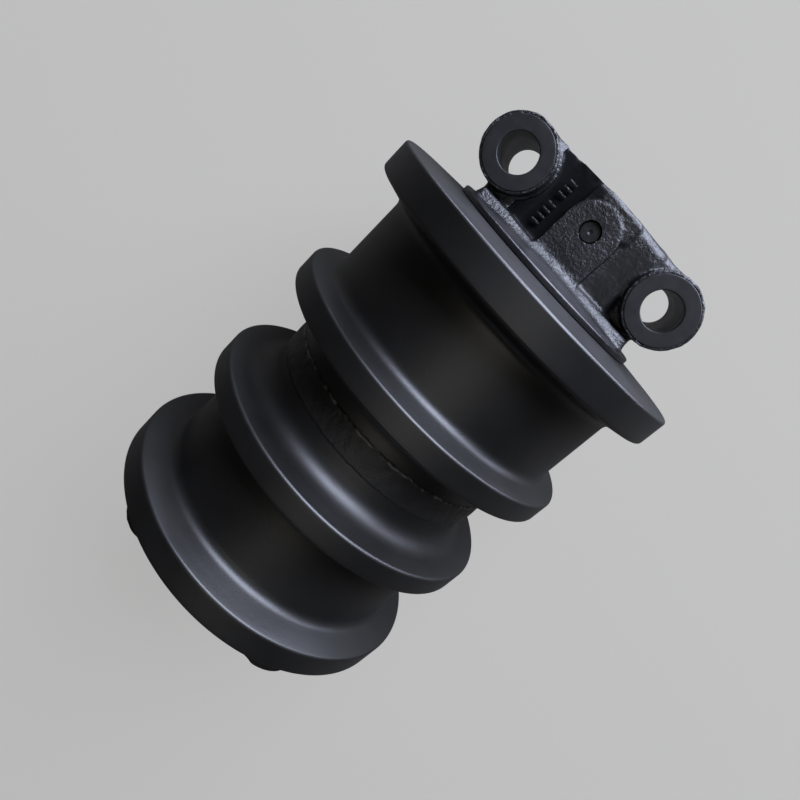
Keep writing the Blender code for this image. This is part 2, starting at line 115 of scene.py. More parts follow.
world = bpy.data.worlds.new("studio")
world.use_nodes = True
backdrop = world.node_tree.nodes["Background"]
backdrop.inputs["Color"].default_value = (1.0, 1.0, 1.0, 1.0)
sky_seen = world.node_tree.nodes.new("ShaderNodeLightPath")
sky_glow = world.node_tree.nodes.new("ShaderNodeMapRange")
sky_glow.inputs["To Min"].default_value = 0.02
sky_glow.inputs["To Max"].default_value = 0.55
world.node_tree.links.new(sky_seen.outputs["Is Camera Ray"], sky_glow.inputs["Value"])
world.node_tree.links.new(sky_glow.outputs["Result"], backdrop.inputs["Strength"])
bpy.context.scene.world = world
bpy.context.scene.view_settings.view_transform = "Standard"

camera_right = Vector((0.6730, 0.7092, -0.2134)).normalized()
camera_down = Vector((0.7396, -0.6443, 0.1977))
camera_down = (camera_down - camera_down.dot(camera_right) * camera_right).normalized()
camera_forward = camera_right.cross(camera_down).normalized()
lens = bpy.data.cameras.new("camera")
lens.sensor_width = 36.0
lens.lens = 29.79
lens.shift_x = -0.0335
lens.shift_y = 0.0004
lens.clip_start = 0.01
camera = bpy.data.objects.new("camera", lens)
turn = Matrix((camera_right, -camera_down, -camera_forward)).transposed()
camera.matrix_world = Matrix.Translation((0.00662, 0.14395, 0.39768)) @ turn.to_4x4()
bpy.context.scene.collection.objects.link(camera)
bpy.context.scene.camera = camera

# ---------------------------------------------------------------------------
# Roller shell: two drop-forged steel halves, turned on the rims, treads and end faces,
# then sprayed with satin black paint after welding. Each is one closed turned wall.
# ---------------------------------------------------------------------------
MM = 0.001


def softened(corners, spacing):
    """An outline of (radius, along) points from (radius, along, fillet) corners. Each corner becomes an arc
    tangent to both of its sides, and the straight stretches get points about spacing apart."""
    side_share = 0.7
    finest_turn = 0.16
    arcs = []
    count = len(corners)
    for index, (radius, along, fillet) in enumerate(corners):
        here = np.array((radius, along))
        if fillet <= 0:
            arcs.append(here[None])
            continue
        before = np.array(corners[index - 1][:2]) - here
        after = np.array(corners[(index + 1) % count][:2]) - here
        before_length, after_length = np.hypot(*before), np.hypot(*after)
        before, after = before / before_length, after / after_length
        half = math.acos(float(np.clip(before @ after, -1, 1))) / 2
        reach = min(fillet / math.tan(half), side_share * before_length, side_share * after_length)
        size = reach * math.tan(half)
        middle = here + (before + after) / np.hypot(*(before + after)) * size / math.sin(half)
        start = here + before * reach - middle
        end = here + after * reach - middle
        first = math.atan2(start[1], start[0])
        sweep = (math.atan2(end[1], end[0]) - first + math.pi) % (2 * math.pi) - math.pi
        steps = max(3, int(abs(sweep) * size / spacing) + 2, int(abs(sweep) / finest_turn) + 1)
        angles = first + sweep * np.linspace(0, 1, steps)
        arcs.append(middle + size * np.stack([np.cos(angles), np.sin(angles)], 1))
    points = []
    for index, arc in enumerate(arcs):
        points.append(arc)
        gap = arcs[(index + 1) % count][0] - arc[-1]
        steps = int(np.hypot(*gap) / spacing)
        if steps > 1:
            share = np.arange(1, steps)[:, None] / steps
            points.append(arc[-1] + gap * share)
    return np.concatenate(points)


def put_mesh(name, vertices, faces, sharp_degrees=35.0):
    """A mesh object at the origin from whole arrays, with its faces turned outwards and shaded smooth."""
    corners = vertices[faces]
    if faces.shape[1] == 4:
        triangles = np.concatenate([corners[:, [0, 1, 2]], corners[:, [0, 2, 3]]])
    else:
        triangles = corners
    volume = np.einsum("ij,ij->i", triangles[:, 0], np.cross(triangles[:, 1], triangles[:, 2])).sum()
    if volume < 0:
        faces = faces[:, ::-1]
    mesh = bpy.data.meshes.new(name)
    sides = faces.shape[1]
    mesh.vertices.add(len(vertices))
    mesh.vertices.foreach_set("co", np.ascontiguousarray(vertices, np.float32).ravel())
    mesh.loops.add(faces.size)
    mesh.loops.foreach_set("vertex_index", np.ascontiguousarray(faces, np.int32).ravel())
    mesh.polygons.add(len(faces))
    mesh.polygons.foreach_set("loop_start", np.arange(len(faces), dtype=np.int32) * sides)
    mesh.update(calc_edges=True)
    mesh.validate()
    mesh.shade_smooth()
    mesh.set_sharp_from_angle(angle=math.radians(sharp_degrees))
    made = bpy.data.objects.new(name, mesh)
    bpy.context.scene.collection.objects.link(made)
    return made


def turned_grid(outline, around, ripple=None):
    """Carry a closed (radius, along) outline round the Y axis: x = r cos a, y = along, z = r sin a.
    ripple, if given, adds its own value of (angle, outline index) to the radius."""
    angles = np.arange(around) * 2 * math.pi / around
    radius = np.repeat(outline[None, :, 0], around, 0)
    if ripple is not None:
        radius = radius + ripple(angles[:, None], np.arange(len(outline))[None])
    along = np.repeat(outline[None, :, 1], around, 0)
    vertices = np.stack([radius * np.cos(angles)[:, None], along, radius * np.sin(angles)[:, None]], -1)
    rows, columns = np.meshgrid(np.arange(around), np.arange(len(outline)), indexing="ij")
    next_row, next_column = (rows + 1) % around, (columns + 1) % len(outline)
    across = len(outline)
    faces = np.stack([rows * across + columns, rows * across + next_column,
                      next_row * across + next_column, next_row * across + columns], -1)
    return vertices.reshape(-1, 3), faces.reshape(-1, 4)


def finish_piece(piece, material, body, slot, *nodes):
    """Give a piece its material and its moving body, and hide the CAD nodes it stands for. The slot argument
    is not used.
    """
    piece.data.materials.append(material)
    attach(piece, body)
    if nodes:
        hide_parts(*nodes)


def add_noise(tree, scale, detail=3.0, roughness=0.55):
    """A noise texture on Object coordinates."""
    place = tree.nodes.new("ShaderNodeTexCoord")
    noise = tree.nodes.new("ShaderNodeTexNoise")
    noise.inputs["Scale"].default_value = scale
    noise.inputs["Detail"].default_value = detail
    noise.inputs["Roughness"].default_value = roughness
    tree.links.new(place.outputs["Object"], noise.inputs["Vector"])
    return noise


def add_range(tree, source, low, high, from_low=0.3, from_high=0.7):
    """Map a noise's middle range onto low to high."""
    span = tree.nodes.new("ShaderNodeMapRange")
    span.inputs["From Min"].default_value = from_low
    span.inputs["From Max"].default_value = from_high
    span.inputs["To Min"].default_value = low
    span.inputs["To Max"].default_value = high
    tree.links.new(source, span.inputs["Value"])
    return span.outputs["Result"]


def add_ramp(tree, source, stops):
    """A colour ramp with the given (place, colour) stops."""
    ramp = tree.nodes.new("ShaderNodeValToRGB")
    while len(ramp.color_ramp.elements) < len(stops):
        ramp.color_ramp.elements.new(0.5)
    for element, (place, colour) in zip(ramp.color_ramp.elements, stops):
        element.position = place
        element.color = (*colour, 1.0)
    tree.links.new(source, ramp.inputs["Fac"])
    return ramp.outputs["Color"]


def add_bump(tree, shader, layers):
    """Chain a bump node for each (height output, strength, distance) layer into the shader's normal."""
    last = None
    for height, strength, distance in layers:
        bump = tree.nodes.new("ShaderNodeBump")
        bump.inputs["Strength"].default_value = strength
        bump.inputs["Distance"].default_value = distance
        tree.links.new(height, bump.inputs["Height"])
        if last is not None:
            tree.links.new(last, bump.inputs["Normal"])
        last = bump.outputs["Normal"]
    tree.links.new(last, shader.inputs["Normal"])


shell_paint = bpy.data.materials.new("satin_black_shell_paint")
tree, shader = shader_of(shell_paint)
paint_cloud = add_noise(tree, 28.0, 4.0)
paint_grain = add_noise(tree, 1500.0, 2.0)
orange_peel = add_noise(tree, 420.0, 2.0)
tree.links.new(add_ramp(tree, paint_cloud.outputs["Fac"], [(0.3, (0.0045, 0.0042, 0.0036)),
                                                           (0.7, (0.0066, 0.0062, 0.0053))]),
               shader.inputs["Base Color"])
tree.links.new(add_range(tree, paint_cloud.outputs["Fac"], 0.41, 0.48), shader.inputs["Roughness"])
shader.inputs["Specular IOR Level"].default_value = 0.9
add_bump(tree, shader, [(orange_peel.outputs["Fac"], 0.10, 0.0004),
                        (paint_grain.outputs["Fac"], 0.16, 0.0002)])

shell_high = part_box("shell_left")[1]
outer_flange_r = shell_high.x
shell_end = shell_high.y
groove_half = 28.0 * MM
inner_flange_r, inner_flange_out = 103.5 * MM, 42.8 * MM
tread_r, groove_r = 88.5 * MM, 78.3 * MM
outer_flange_in, outer_flange_out = 105.2 * MM, 123.5 * MM
tread_out, tread_in = 99.4 * MM, 48.0 * MM
tread_fillet, groove_fillet = 7.0 * MM, 12.9 * MM
weld_half, weld_depth = 8.3 * MM, 3.3 * MM
half_gap = 0.15 * MM
oil_chamber_r, oil_chamber_end = 39.0 * MM, 53.0 * MM
bush_seat_r, bush_seat_in, bush_seat_out = 33.0 * MM, 59.0 * MM, 102.0 * MM
bush_recess_r, housing_floor = 37.8 * MM, 106.0 * MM
housing_r, mouth_r, mouth_floor = 45.5 * MM, 53.0 * MM, 116.9 * MM
shell_corners = [
    (68.0 * MM, shell_end, 0.5 * MM),
    (outer_flange_r, outer_flange_out, 1.7 * MM),
    (outer_flange_r, outer_flange_in, 2.1 * MM),
    (tread_r, tread_out, tread_fillet),
    (tread_r, tread_in, tread_fillet),
    (inner_flange_r, inner_flange_out, 2.0 * MM),
    (inner_flange_r, groove_half, 2.0 * MM),
    (groove_r, groove_half - 1.0 * MM, groove_fillet),
    (groove_r, weld_half, 0.4 * MM),
    (groove_r - weld_depth, weld_half, 0.4 * MM),
    (groove_r - weld_depth, half_gap, 0.0),
    (oil_chamber_r, half_gap, 0.0),
    (oil_chamber_r, oil_chamber_end, 1.0 * MM),
    (bush_seat_r, bush_seat_in, 0.5 * MM),
    (bush_seat_r, bush_seat_out, 0.0),
    (bush_recess_r, bush_seat_out, 0.0),
    (bush_recess_r, housing_floor, 0.3 * MM),
    (housing_r, housing_floor, 0.5 * MM),
    (housing_r, mouth_floor, 0.3 * MM),
    (mouth_r, mouth_floor, 0.5 * MM),
    (mouth_r, shell_end, 0.8 * MM),
]
shell_outline = softened(shell_corners, 2.4 * MM)
for side, direction in (("left", 1), ("right", -1)):
    vertices, faces = turned_grid(shell_outline * (1, direction), 320)
    half_shell = put_mesh("shell_half_" + side, vertices, faces, 50.0)
    finish_piece(half_shell, shell_paint, "roller", "shell_paint", "shell_" + side)

# ---------------------------------------------------------------------------
# Weld: the two halves are joined by a run of weld in the groove, dressed roughly and painted over,
# so it stands a little proud with a ragged edge and low ripples.
# ---------------------------------------------------------------------------
weld_toe, weld_root = 9.2 * MM, 8.0 * MM
weld_profile = softened([
    (groove_r + 0.02 * MM, weld_toe, 0.2 * MM),
    (groove_r + 0.75 * MM, 7.9 * MM, 0.8 * MM),
    (groove_r + 0.95 * MM, 0.0, 8.0 * MM),
    (groove_r + 0.85 * MM, -7.6 * MM, 0.5 * MM),
    (groove_r + 0.02 * MM, -weld_toe, 0.2 * MM),
    (groove_r - 0.6 * MM, -weld_root, 0.0),
    (groove_r - 3.0 * MM, -weld_root, 0.0),
    (groove_r - 3.0 * MM, weld_root, 0.0),
    (groove_r - 0.6 * MM, weld_root, 0.0),
], 0.6 * MM)


def weld_ripple(angle, index):
    """Low waves round the bead that differ across its width: sums of sines of the angle whose phase drifts
    with the place across, nought at the toes and below the groove."""
    across = weld_profile[index, 1] / weld_toe
    lift = np.clip((weld_profile[index, 0] - groove_r) / (0.6 * MM), 0, 1)
    waves = (np.sin(41 * angle + 3.1 * across) + 0.8 * np.sin(67 * angle - 4.3 * across + 1.3)
             + 0.9 * np.sin(13 * angle + 2.7 * across + 0.4))
    return lift * waves * 0.05 * MM


vertices, faces = turned_grid(weld_profile, 720, weld_ripple)
drift = np.arctan2(vertices[:, 2], vertices[:, 0])
toe_share = np.clip(np.abs(vertices[:, 1]) / weld_toe, 0, 1) ** 4
vertices[:, 1] += np.sign(vertices[:, 1]) * toe_share * 0.16 * MM * (
    np.sin(29 * drift + 0.7) + np.sin(53 * drift + 2.0) + 0.8 * np.sin(97 * drift + vertices[:, 1] * 900))
weld_paint = bpy.data.materials.new("painted_weld")
tree, shader = shader_of(weld_paint)
weld_cloud = add_noise(tree, 90.0, 4.0)
weld_spatter = add_noise(tree, 700.0, 3.0, 0.6)
# Base colour runs from the dark painted weld up to a light grey along a thin line near the +Y toe. That line
# is a painted highlight for the lit edge of the toe, which the flange keeps in shade.
painted_toe_highlight = tree.nodes.new("ShaderNodeAttribute")
painted_toe_highlight.attribute_name = "painted_toe_highlight"
tree.links.new(add_ramp(tree, painted_toe_highlight.outputs["Fac"], [(0.0, (0.0100, 0.0095, 0.0088)),
                                                       (1.0, (0.30, 0.29, 0.28))]),
               shader.inputs["Base Color"])
tree.links.new(add_range(tree, weld_cloud.outputs["Fac"], 0.40, 0.55), shader.inputs["Roughness"])
shader.inputs["Specular IOR Level"].default_value = 0.8
add_bump(tree, shader, [(weld_cloud.outputs["Fac"], 0.6, 0.0015),
                        (weld_spatter.outputs["Fac"], 0.55, 0.0007)])
weld = put_mesh("groove_weld", vertices, faces, 60.0)
# Where the painted highlight lies: a thin wavy line near the +Y toe, broken into patches by sums of sines of
# the angle.
toe_highlight_patches = (np.sin(5 * drift + 1.0) + np.sin(17 * drift) + 0.8 * np.sin(43 * drift + 2.0)
           + 0.6 * np.sin(101 * drift))
toe_highlight_y = (8.1 + 0.35 * np.sin(23 * drift) + 0.25 * np.sin(61 * drift + 1.0)) * MM
toe_highlight_width = 0.5 * MM
toe_highlight_share = np.exp(-((vertices[:, 1] - toe_highlight_y) / toe_highlight_width) ** 2) * np.clip(0.5 + 0.5 * toe_highlight_patches, 0, 1)
toe_highlight_layer = weld.data.attributes.new("painted_toe_highlight", "FLOAT", "POINT")
toe_highlight_layer.data.foreach_set("value", toe_highlight_share.astype(np.float32))
finish_piece(weld, weld_paint, "roller", "shell_paint", "weld_bead")

# ---------------------------------------------------------------------------
# Bushes: a steel-backed bronze sleeve with a flange, turned and pressed into each end of the shell.
# The shaft runs in their bores.
# ---------------------------------------------------------------------------
def turned_piece(name, corners, around, material, body, slot, node, direction=1):
    """A closed turned ring from (radius, along, fillet) corners in millimetres; direction -1 mirrors it."""
    point_spacing = 3.0 * MM
    outline = softened([tuple(value * MM for value in corner) for corner in corners], point_spacing)
    vertices, faces = turned_grid(outline * (1, direction), around)
    piece = put_mesh(name, vertices, faces, 40.0)
    finish_piece(piece, material, body, slot, *([node] if node else []))
    return piece


def machined_metal(name, dark, light, smooth, coarse, metallic=1.0):
    """A turned or ground surface: cloudy colour, uneven gloss and fine marks."""
    made = bpy.data.materials.new(name)
    tree, shader = shader_of(made)
    cloud = add_noise(tree, 120.0, 4.0)
    marks = add_noise(tree, 1600.0, 2.0)
    tree.links.new(add_ramp(tree, cloud.outputs["Fac"], [(0.3, dark), (0.7, light)]),
                   shader.inputs["Base Color"])
    tree.links.new(add_range(tree, cloud.outputs["Fac"], smooth, coarse), shader.inputs["Roughness"])
    shader.inputs["Metallic"].default_value = metallic
    add_bump(tree, shader, [(marks.outputs["Fac"], 0.15, 0.0002)])
    return made


bush_bronze = machined_metal("turned_bronze", (0.42, 0.25, 0.10), (0.55, 0.36, 0.16), 0.28, 0.42)
for side, direction in (("left", 1), ("right", -1)):
    bush_corners = [(37.5, 106.0, 0.5), (37.5, 102.3, 0.3), (32.7, 102.3, 0.3), (32.7, 59.0, 0.8),
                    (27.3, 59.0, 0.8), (27.3, 106.0, 0.8)]
    turned_piece("bronze_bush_" + side, bush_corners, 128, bush_bronze, "roller", "bronze",
                 "bushing_" + side, direction)

# ---------------------------------------------------------------------------
# Shaft: a ground steel bar, chamfered, with a lathe centre in each end, a groove for an O-ring at each
# collar, a cross hole for each lock pin and an oil gallery with a recess for its plug in the +Y end.
# ---------------------------------------------------------------------------
def cut_away(piece, tool_mesh):
    """Subtract a closed mesh from a piece, as an exact Boolean, and shade what is left."""
    tool = bpy.data.objects.new("cutter", tool_mesh)
    bpy.context.scene.collection.objects.link(tool)
    cut = piece.modifiers.new("cut", "BOOLEAN")
    cut.operation = "DIFFERENCE"
    cut.solver = "EXACT"
    cut.object = tool
    bpy.context.view_layer.update()
    left = bpy.data.meshes.new_from_object(piece.evaluated_get(bpy.context.evaluated_depsgraph_get()))
    piece.modifiers.clear()
    piece.data = left
    bpy.data.objects.remove(tool)
    piece.data.shade_smooth()
    piece.data.set_sharp_from_angle(angle=math.radians(30.0))


def drilled(piece, drills):
    """Cut drillings, given as (centre, radius, length, axis) in millimetres, out of a piece."""
    sides = 48
    angles = np.arange(sides) * 2 * math.pi / sides
    walls = [(k, (k + 1) % sides, sides + (k + 1) % sides, sides + k) for k in range(sides)]
    caps = [tuple(range(sides - 1, -1, -1)), tuple(range(sides, 2 * sides))]
    for centre, radius, length, axis in drills:
        circle = np.stack([np.cos(angles) * radius, np.sin(angles) * radius], 1)
        rings = [np.insert(circle, axis, end, 1) + centre for end in (-length / 2, length / 2)]
        mesh = bpy.data.meshes.new("drill")
        mesh.from_pydata((np.concatenate(rings) * MM).tolist(), [], walls + caps)
        if axis == 1:
            mesh.flip_normals()
        cut_away(piece, mesh)


shaft_steel = machined_metal("ground_shaft_steel", (0.36, 0.36, 0.37), (0.42, 0.42, 0.44), 0.26, 0.34)
shaft_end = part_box("shaft")[1][1] / MM
shaft_r, oil_hole_x = 27.0, 14.0
pin_y, pin_hole_r = 160.5, 6.1
upper = [(0.02, shaft_end - 7.0, 0.0), (4.0, shaft_end, 0.3), (25.0, shaft_end, 0.3),
         (shaft_r, shaft_end - 2.0, 0.3), (shaft_r, 146.6, 0.0), (24.2, 146.6, 0.3),
         (24.2, 142.8, 0.3), (shaft_r, 142.8, 0.0)]
lower = [(radius, -along, fillet) for radius, along, fillet in reversed(upper)]
shaft = turned_piece("shaft_bar", (upper + lower)[::-1], 128, shaft_steel, "mount", "shaft_steel", "shaft")
drilled(shaft, [((oil_hole_x, 101.0, 0.0), 3.5, 160.0, 1), ((oil_hole_x, 177.0, 0.0), 7.3, 10.0, 1),
                ((0.0, pin_y, 0.0), pin_hole_r, 60.0, 2), ((0.0, -pin_y, 0.0), pin_hole_r, 60.0, 2),
                ((24.0, 30.0, 0.0), 3.0, 20.0, 0)])
# Both ends are sprayed over with the shell.
shaft.data.materials.append(shell_paint)
for face in shaft.data.polygons:
    from_plug = math.hypot(face.center[0] - oil_hole_x * MM, face.center[2])
    face.material_index = int(abs(face.center[1]) > 176.4 * MM and from_plug > 7.2 * MM)

black_rubber = machined_metal("black_rubber", (0.010, 0.010, 0.010), (0.020, 0.020, 0.020), 0.50, 0.65, 0.0)
for side, direction in (("left", 1), ("right", -1)):
    o_ring_corners = [(24.5, 143.5, 1.1), (24.5, 145.9, 1.1), (26.99, 145.9, 1.1), (26.99, 143.5, 1.1)]
    turned_piece("shaft_o_ring_" + side, o_ring_corners, 96, black_rubber, "mount", "rubber",
                 "shaft_o_ring_" + side, direction)

# ---------------------------------------------------------------------------
# Face seals: two hard iron rings with lapped faces at each end, each sprung by a rubber ring.
# One turns with the shell, and the other stands still in the collar.
# ---------------------------------------------------------------------------
seal_iron = machined_metal("lapped_seal_iron", (0.17, 0.17, 0.18), (0.27, 0.27, 0.28), 0.16, 0.30)
seal_plane = 118.4
for side, direction in (("left", 1), ("right", -1)):
    for owner, sign, body in (("shell", -1, "roller"), ("collar", 1, "mount")):
        face = seal_plane + sign * 0.15
        turned_piece(owner + "_seal_iron_" + side, [
            (42.4, face, 0.2), (42.4, face + sign * 2.4, 0.3), (38.3, face + sign * 2.4, 0.8),
            (38.3, face + sign * 9.6, 0.6), (33.9, face + sign * 9.6, 0.5), (33.9, face, 0.5)], 128,
            seal_iron, body, "seal_iron", owner + "_seal_ring_" + side, direction)
        low, high = face + sign * 2.7, face + sign * 9.2
        turned_piece(owner + "_seal_rubber_" + side, [
            (38.65, low, 3.1), (45.15, low, 3.1), (45.15, high, 3.1), (38.65, high, 3.1)], 128,
            black_rubber, body, "rubber", owner + "_seal_toric_" + side, direction)

# ---------------------------------------------------------------------------
# End collars: one iron casting for each end, with two bolt bosses, a U-shaped pad round the lock pin's
# hole, a sunk panel on one side of it and a round base next to the shell. Bores and holes are machined.
# ---------------------------------------------------------------------------
collar_face = 126.9
collar_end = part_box("collar_left")[1][1] / MM
pad_z = 34.5
bolt_x, bolt_y = 55.5, pin_y
pin_pad_z, floor_z, shallow_z, foot_z = pad_z - 0.5, 25.0, 29.6, -29.0
bolt_hole_r = 11.0
grid_step = 0.95
skin = np.random.default_rng(7)
skin_waves = [(skin.normal(size=3), skin.uniform(0, 2 * math.pi)) for _ in range(26)]


def smooth_join(first, second, reach):
    """The nearer of two distances, blended where they differ by less than reach, as a cast fillet is."""
    share = np.clip(0.5 + 0.5 * (second - first) / reach, 0, 1)
    return second * (1 - share) + first * share - reach * share * (1 - share)


def smooth_common(first, second, reach):
    """The further of two distances, blended, as a rounded edge is."""
    return -smooth_join(-first, -second, reach)


def block(x, y, z, low, high, edge):
    """Distance to a box with edges rounded by edge."""
    middle, half = (np.array(low) + high) / 2, (np.array(high) - low) / 2 - edge
    dx, dy, dz = (np.abs(value - centre) - size for value, centre, size in zip((x, y, z), middle, half))
    outside = np.sqrt(np.maximum(dx, 0) ** 2 + np.maximum(dy, 0) ** 2 + np.maximum(dz, 0) ** 2)
    return outside + np.minimum(np.maximum(dx, np.maximum(dy, dz)), 0) - edge


def post(radial, z, radius, low, high, edge):
    """Distance to an upright post of the given radius with rounded ends."""
    across, up = radial - (radius - edge), np.abs(z - (low + high) / 2) - ((high - low) / 2 - edge)
    outside = np.hypot(np.maximum(across, 0), np.maximum(up, 0))
    return outside + np.minimum(np.maximum(across, up), 0) - edge


def cast_skin(x, y, z, size):
    """Uneven sand-mould skin: a sum of sine waves in scattered directions with a wavelength near size."""
    total = 0.0
    for direction, phase in skin_waves:
        total = total + np.sin((x * direction[0] + y * direction[1] + z * direction[2]) * 3.6 / size + phase)
    return np.clip(total / len(skin_waves) ** 0.5, -1.3, 1.3)


def sunk_panel(x, y):
    """Distance in plan to the sunk panel between the -X boss and the pin's pad, open at the collar's end."""
    panel = np.maximum(np.abs(x + 27.5) - 12.6 - (y - 140.0) * 0.012, 136.6 - (x + 35.0) * 0.14 - y)
    panel = np.maximum(panel, 22.6 - np.hypot(x + bolt_x, y - bolt_y))
    return np.maximum(panel, 16.4 - np.hypot(x, y - np.clip(y, 131.0, bolt_y)))


def panel_floor(x):
    """Height of the sunk panel's floor, which falls away from the pin's pad."""
    return 24.6 - np.clip(-x - 17.0, 0.0, 14.0) * 0.30


def collar_distance(x, y, z):
    """Signed distance in millimetres to one collar: cast shapes blended together, then the sunk panel and
    machined cuts taken as hard differences."""
    axis_r = np.hypot(x, z)
    hub = post(axis_r, y, 33.3, 120.0, collar_end - 0.6, 2.5)
    web = block(x, y, z, (-58.0, 132.2, -27.6), (58.0, collar_end - 0.7, floor_z), 4.0)
    body = smooth_join(hub, web, 6.0)
    shallow = block(x, y, z, (8.0, 132.5, 0.0), (37.0, collar_end - 1.4, shallow_z), 4.0)
    body = smooth_join(body, shallow, 4.0)
    land = block(x, y, z, (-9.5, 168.0, 10.0), (17.0, collar_end - 0.7, 32.6), 2.0)
    body = smooth_join(body, land, 3.0)
    ledge = block(x, y, z, (-56.5, 131.6, 5.0), (56.5, 137.2, pin_pad_z - 0.5), 2.4)
    body = smooth_join(body, ledge, 2.0)
    pad_y = np.clip(y, 131.0, bolt_y)
    pad_across = np.hypot(x, y - pad_y) - 15.8 - (pin_pad_z - z) * 0.06
    pin_pad = smooth_common(pad_across, np.abs(z - 22.0) - (pin_pad_z - 22.0), 0.7)
    pin_pad = np.maximum(pin_pad, 131.5 - y)
    body = smooth_join(body, pin_pad, 1.2)
    body = smooth_common(body, -smooth_common(sunk_panel(x, y), panel_floor(x) - z, 1.2), 0.7)
    for centre in (-bolt_x, bolt_x):
        boss_r = np.hypot(x - centre, y - bolt_y)
        boss = post(boss_r + (z - pad_z) * 0.006, z, 20.9, foot_z + 0.4, pad_z - 0.6, 1.1)
        body = smooth_join(body, boss, 2.0)
    base_top = 130.0 + (68.0 - axis_r) * 0.112
    base = smooth_common(axis_r - 68.0, smooth_common(y - base_top, 100.0 - y, 0.5), 1.2)
    body = smooth_join(body, base, 7.0)
    rough = cast_skin(x, y, z, 9.0) * 0.10 + cast_skin(y, z, x, 3.4) * 0.07
    calm_floor = np.clip((0.6 - sunk_panel(x, y)) / 0.6, 0, 1) * np.clip((28.0 - z) / 2.0, 0, 1)
    end_wear = cast_skin(z, x, y, 5.0) * 0.20 * np.clip((y - 176.5) / 5.0, 0, 1)
    body = body + rough * np.clip((y - 132.0) / 4.0, 0, 1) * (1 - 0.8 * calm_floor) + end_wear
    for centre in (-bolt_x, bolt_x):
        boss_r = np.hypot(x - centre, y - bolt_y)
        facing = np.maximum(boss_r - 19.5, (pad_z - 0.9) - z)
        body = np.maximum(body, -facing)
        body = np.maximum(body, -(boss_r - bolt_hole_r))
    body = np.maximum(body, -(axis_r - (shaft_r + 0.3)))
    body = np.maximum(body, -np.maximum(axis_r - 46.2, y - 131.2))
    body = np.maximum(body, -(np.hypot(x, y - bolt_y) - pin_hole_r))
    return np.maximum(body, np.maximum(collar_face - y, y - collar_end))


def contour(distance, low, high, step):
    """Dual contouring: one vertex in each grid cell that the surface crosses, placed where the tangent planes
    at its edge crossings meet, and one square for each crossed edge."""
    axes = [np.arange(a, b + step, step) for a, b in zip(low, high)]
    shape = tuple(len(axis) for axis in axes)
    grid = np.meshgrid(*axes, indexing="ij")
    values = distance(*grid)
    inside = values < 0
    cells = np.prod(shape)
    stride = np.array((shape[1] * shape[2], shape[2], 1))
    normals_sum = np.zeros((cells, 6))
    right_sum = np.zeros((cells, 3))
    point_sum = np.zeros((cells, 3))
    hits = np.zeros(cells)
    quads = []
    for axis in range(3):
        here = [slice(1, -1)] * 3
        there = [slice(1, -1)] * 3
        here[axis], there[axis] = slice(0, -1), slice(1, None)
        crossed = inside[tuple(here)] != inside[tuple(there)]
        index = np.argwhere(crossed)
        index[:, [a for a in range(3) if a != axis]] += 1
        flat = index @ stride
        first = values.ravel()[flat]
        second = values.ravel()[flat + stride[axis]]
        start = np.stack([axes[a][index[:, a]] for a in range(3)], 1)
        near, far, near_value, far_value = np.zeros(len(flat)), np.ones(len(flat)), first, second
        for _ in range(4):
            share = near + (far - near) * np.clip(near_value / (near_value - far_value), 0.05, 0.95)
            point = start.copy()
            point[:, axis] += share * step
            value = distance(*point.T)
            same = (value < 0) == (near_value < 0)
            near, near_value = np.where(same, share, near), np.where(same, value, near_value)
            far, far_value = np.where(same, far, share), np.where(same, far_value, value)
        tiny = 0.02
        slope = np.stack([distance(*(point + tiny * unit).T) - distance(*(point - tiny * unit).T)
                          for unit in np.eye(3)], 1)
        slope /= np.linalg.norm(slope, axis=1, keepdims=True) + 1e-12
        side_a, side_b = [a for a in range(3) if a != axis]
        around = [flat, flat - stride[side_a], flat - stride[side_a] - stride[side_b], flat - stride[side_b]]
        product = np.stack([slope[:, i] * slope[:, j] for i, j in
                            ((0, 0), (0, 1), (0, 2), (1, 1), (1, 2), (2, 2))], 1)
        level = (slope * point).sum(1)
        for cell in around:
            for column in range(6):
                normals_sum[:, column] += np.bincount(cell, product[:, column], cells)
            for column in range(3):
                right_sum[:, column] += np.bincount(cell, slope[:, column] * level, cells)
                point_sum[:, column] += np.bincount(cell, point[:, column], cells)
            hits += np.bincount(cell, minlength=cells)
        square = np.stack(around, 1)
        outward = (first < 0) == (axis != 1)
        quads.append(np.where(outward[:, None], square, square[:, ::-1]))
    used = np.flatnonzero(hits)
    middle = point_sum[used] / hits[used, None]
    a = normals_sum[used]
    matrix = np.empty((len(used), 3, 3))
    for column, (i, j) in enumerate(((0, 0), (0, 1), (0, 2), (1, 1), (1, 2), (2, 2))):
        matrix[:, i, j] = matrix[:, j, i] = a[:, column]
    right = right_sum[used] - np.einsum("nij,nj->ni", matrix, middle)
    damping = 0.04 * hits[used, None, None] * np.eye(3)
    shift = np.linalg.solve(matrix + damping, right[..., None])[..., 0]
    corner = np.stack([axes[0][used // stride[0]], axes[1][used // stride[1] % shape[1]],
                       axes[2][used % shape[2]]], 1)
    vertices = np.clip(middle + shift, corner - 0.05 * step, corner + 1.05 * step)
    renumber = np.zeros(cells, np.int64)
    renumber[used] = np.arange(len(used))
    return vertices, renumber[np.concatenate(quads)]


def add_attribute(tree, name, at_none, at_full):
    """A mesh attribute from 0 to 1, mapped onto at_none to at_full."""
    reader = tree.nodes.new("ShaderNodeAttribute")
    reader.attribute_name = name
    return add_range(tree, reader.outputs["Fac"], at_none, at_full, 0.0, 1.0)


